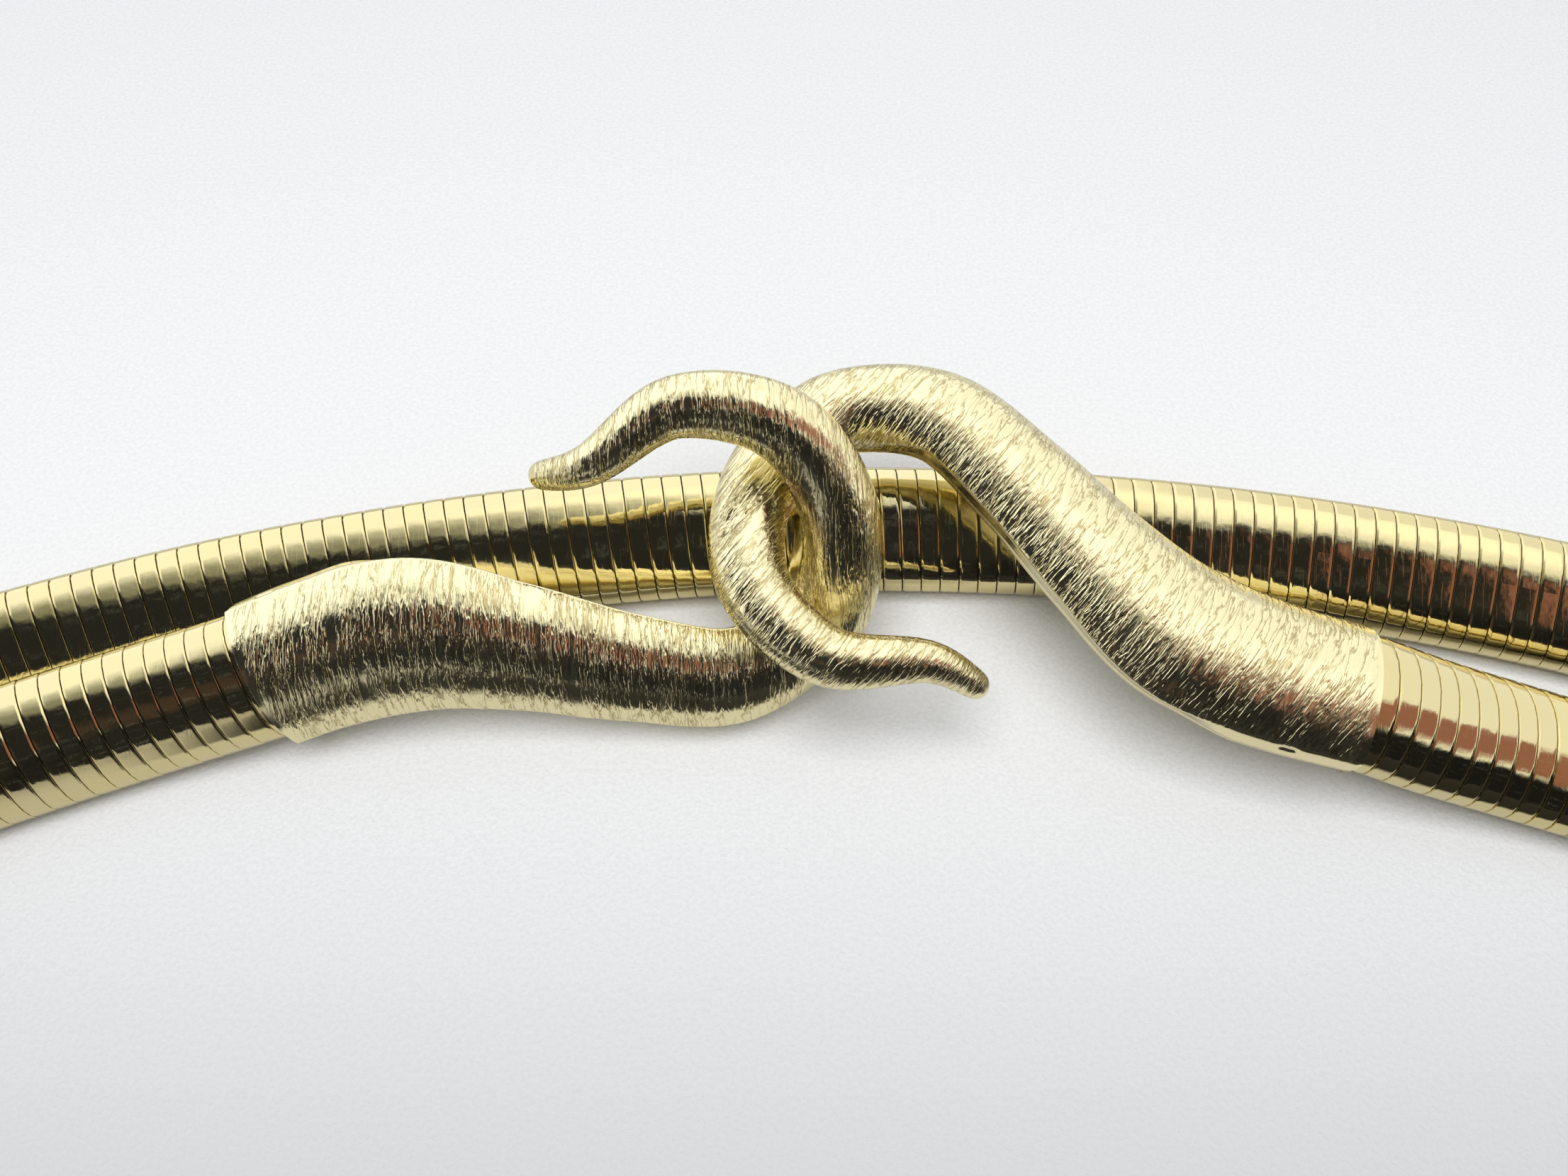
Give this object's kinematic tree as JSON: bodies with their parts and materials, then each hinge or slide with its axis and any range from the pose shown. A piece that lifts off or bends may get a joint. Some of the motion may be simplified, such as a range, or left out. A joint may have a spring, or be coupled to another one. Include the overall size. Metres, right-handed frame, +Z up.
{
  "type": "chain belt",
  "caption": "Spirally wound metal tube belt, closed by two interlocking S-shaped hooks and lying pressed into a long crescent loop.",
  "frame": {"origin": "centre of the bottom of the bounding box, on the surface that the belt lies on", "axes": "+X runs along the crescent, from the viewer's left to right; +Y points away from the viewer, from the clasp to the middle of the back; +Z is up"},
  "size_m": [0.3268, 0.088, 0.0306],
  "materials": {
    "hooks": "pale gold, with short brushed grooves in one direction",
    "coil": "mirror-polished gold"
  },
  "bodies": {
    "root": {"hook_left": "hooks", "hook_right": "hooks", "coil_strap": "coil"}
  },
  "joints": []
}
